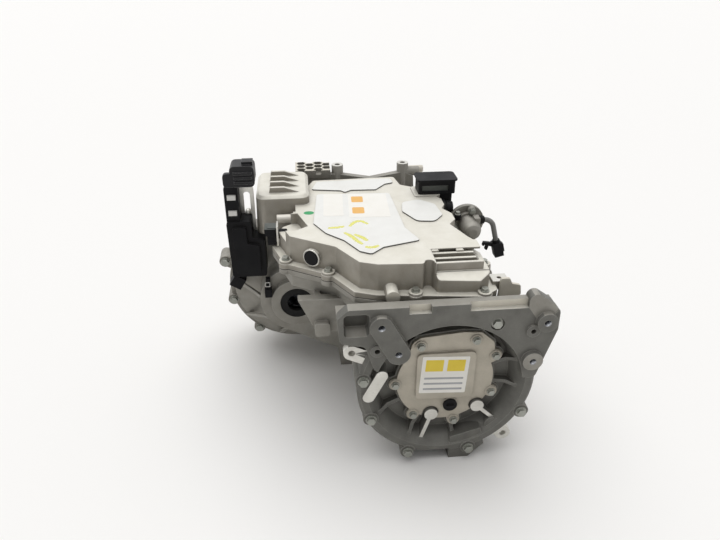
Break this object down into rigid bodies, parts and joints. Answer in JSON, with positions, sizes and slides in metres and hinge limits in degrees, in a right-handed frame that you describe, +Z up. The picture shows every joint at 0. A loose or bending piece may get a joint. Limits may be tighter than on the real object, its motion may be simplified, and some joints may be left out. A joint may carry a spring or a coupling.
{
  "type": "electric drive unit",
  "caption": "Electric axle drive: motor with ribbed end cover, inverter box on top, offset two-stage helical reducer with bevel differential.",
  "frame": {"origin": "on the wheel axle's axis, at the mouth of the front axle bore", "axes": "+Z up, +Y along the shafts from the motor end cover to the reducer cover, +X from the axle towards the motor"},
  "size_m": [0.515, 0.476, 0.416],
  "materials": {
    "cast_dark": "rough die-cast aluminium, darker skin",
    "cast_mid": "die-cast aluminium",
    "cast_bright": "bright shot-blasted cast aluminium",
    "steel": "plain and zinc-plated steel",
    "gear_steel": "ground, hardened gear steel",
    "black_plastic": "black glass-filled plastic",
    "copper": "enamelled copper",
    "laminate": "stacked electrical steel sheets",
    "board": "green circuit board",
    "rubber": "black rubber",
    "cable_tube": "grey corrugated tube",
    "sheet": "pale damping sheet"
  },
  "bodies": {
    "housing": {"motor_housing": "cast_mid", "motor_end_cover": "cast_dark", "end_cover_bolts": "steel", "terminal_cover": "cast_mid", "terminal_cover_bolts": "steel", "terminal_plug": "black_plastic", "stator_core": "laminate", "stator_windings": "copper", "resolver_stator": "laminate", "inverter_cover": "cast_bright", "inverter_gasket": "rubber", "inverter_cover_bolts": "steel", "inverter_side_plug": "black_plastic", "rear_damping_sheet": "sheet", "main_damping_sheet": "sheet", "round_damping_sheet": "sheet", "power_module": "black_plastic", "dc_link_capacitor": "black_plastic", "control_board": "board", "phase_busbars": "copper", "signal_connector": "black_plastic", "coolant_inlet_pipe": "cast_bright", "dc_connector": "black_plastic", "dc_connector_lid": "black_plastic", "round_connector": "black_plastic", "reducer_case": "cast_mid", "reducer_cover": "cast_mid", "case_bolts": "steel", "front_axle_seal": "rubber", "rear_axle_seal": "rubber", "oil_fill_plug": "steel", "oil_drain_plug": "steel", "breather_cap": "black_plastic", "oil_pump_body": "cast_bright", "oil_pump_bolts": "steel", "pump_cable_gland": "black_plastic", "pump_cable": "cable_tube", "pump_cable_connector": "black_plastic", "control_unit_body": "black_plastic", "control_unit_cap": "black_plastic", "control_unit_plug": "black_plastic", "control_unit_bracket": "cast_bright", "wiring_clip": "black_plastic", "bearing_outer_rings": "steel"},
    "rotor": {"rotor_shaft": "steel", "rotor_core": "laminate", "input_pinion": "gear_steel", "resolver_rotor": "laminate", "rotor_bearing_inners": "steel"},
    "layshaft_body": {"layshaft": "steel", "layshaft_gear": "gear_steel", "layshaft_pinion": "gear_steel", "layshaft_bearing_inners": "steel"},
    "differential": {"differential_case": "gear_steel", "ring_gear": "gear_steel", "differential_bearing_inners": "steel"},
    "front_side": {"front_side_gear": "gear_steel"},
    "rear_side": {"rear_side_gear": "gear_steel"},
    "left_planet": {"left_planet_gear": "gear_steel"},
    "right_planet": {"right_planet_gear": "gear_steel"}
  },
  "joints": [
    {"name": "rotor_spin", "type": "hinge", "parent": "housing", "child": "rotor", "pos_m": [0.22, -0.3, -0.005], "axis": [0, 1, 0], "continuous": true},
    {"name": "layshaft_spin", "type": "hinge", "parent": "housing", "child": "layshaft_body", "pos_m": [0.12598, -0.3, -0.03942], "axis": [0, 1, 0], "continuous": true},
    {"name": "differential_spin", "type": "hinge", "parent": "housing", "child": "differential", "pos_m": [0, 0, 0], "axis": [0, 1, 0], "continuous": true},
    {"name": "front_side_spin", "type": "hinge", "parent": "differential", "child": "front_side", "pos_m": [0, 0, 0], "axis": [0, 1, 0], "continuous": true},
    {"name": "rear_side_spin", "type": "hinge", "parent": "differential", "child": "rear_side", "pos_m": [0, 0, 0], "axis": [0, 1, 0], "continuous": true},
    {"name": "left_planet_spin", "type": "hinge", "parent": "differential", "child": "left_planet", "pos_m": [0, 0.045, 0], "axis": [1, 0, 0], "continuous": true},
    {"name": "right_planet_spin", "type": "hinge", "parent": "differential", "child": "right_planet", "pos_m": [0, 0.045, 0], "axis": [1, 0, 0], "continuous": true}
  ],
  "couplings": [
    {"joint": "layshaft_spin", "follows": "rotor_spin", "ratio": -0.36923},
    {"joint": "differential_spin", "follows": "rotor_spin", "ratio": 0.10977},
    {"joint": "rear_side_spin", "follows": "front_side_spin", "ratio": -1},
    {"joint": "right_planet_spin", "follows": "front_side_spin", "ratio": 1.6},
    {"joint": "left_planet_spin", "follows": "front_side_spin", "ratio": -1.6}
  ]
}
